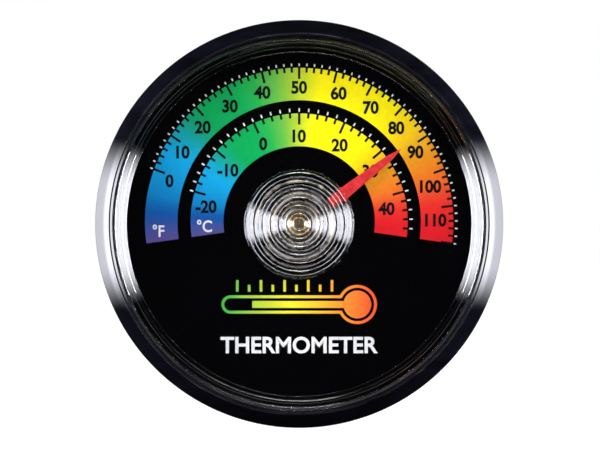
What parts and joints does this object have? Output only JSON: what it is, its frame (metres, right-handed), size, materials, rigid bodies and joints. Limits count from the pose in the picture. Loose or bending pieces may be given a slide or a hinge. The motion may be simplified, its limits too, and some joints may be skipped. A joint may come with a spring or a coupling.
{
  "type": "dial thermometer",
  "caption": "Round terrarium dial thermometer: slotted post, bimetal coil, red pointer and printed two-ring scale behind a clear lens, in a black case with a hook-and-loop pad.",
  "frame": {"origin": "centre of the mounting pad's back face, on the dial's axis", "axes": "+Y points out of the back, into the tank wall, so the dial faces -Y; +Z points to twelve o'clock on the dial; +X to three o'clock"},
  "size_m": [0.06, 0.0139, 0.06],
  "materials": {
    "rear_case": "fine matt moulded black plastic",
    "bezel_ring": "polished black plastic",
    "lens": "clear polished plastic",
    "dial_plate": "satin black",
    "scale_label": "printed film, black ground",
    "post_bush": "turned",
    "coil_post": "turned",
    "friction_washer": "spring steel",
    "retaining_clip": "spring steel",
    "bimetal_coil": "rolled strip",
    "pointer": "red enamel, slightly mottled",
    "pointer_clip": "folded sheet",
    "loop_pad": "looped pile",
    "loop_adhesive": "clear adhesive film",
    "hook_pad": "hooked pile",
    "hook_adhesive": "clear adhesive film"
  },
  "bodies": {
    "case": {"rear_case": "rear_case", "bezel_ring": "bezel_ring", "lens": "lens", "dial_plate": "dial_plate", "scale_label": "scale_label", "post_bush": "post_bush", "loop_pad": "loop_pad", "loop_adhesive": "loop_adhesive", "hook_pad": "hook_pad", "hook_adhesive": "hook_adhesive"},
    "post": {"coil_post": "coil_post", "friction_washer": "friction_washer", "retaining_clip": "retaining_clip", "bimetal_coil": "bimetal_coil"},
    "pointer": {"pointer": "pointer", "pointer_clip": "pointer_clip"}
  },
  "joints": [
    {"name": "calibration", "type": "hinge", "parent": "case", "child": "post", "pos_m": [0, -0.0082, 0], "axis": [0, 1, 0], "range_deg": [-15, 15]},
    {"name": "pointer_sweep", "type": "hinge", "parent": "post", "child": "pointer", "pos_m": [0, -0.0095, 0], "axis": [0, 1, 0], "range_deg": [-150.3, 45.7], "stiffness_Nm_per_rad": 0.0016, "deforming": ["bimetal_coil"]}
  ]
}
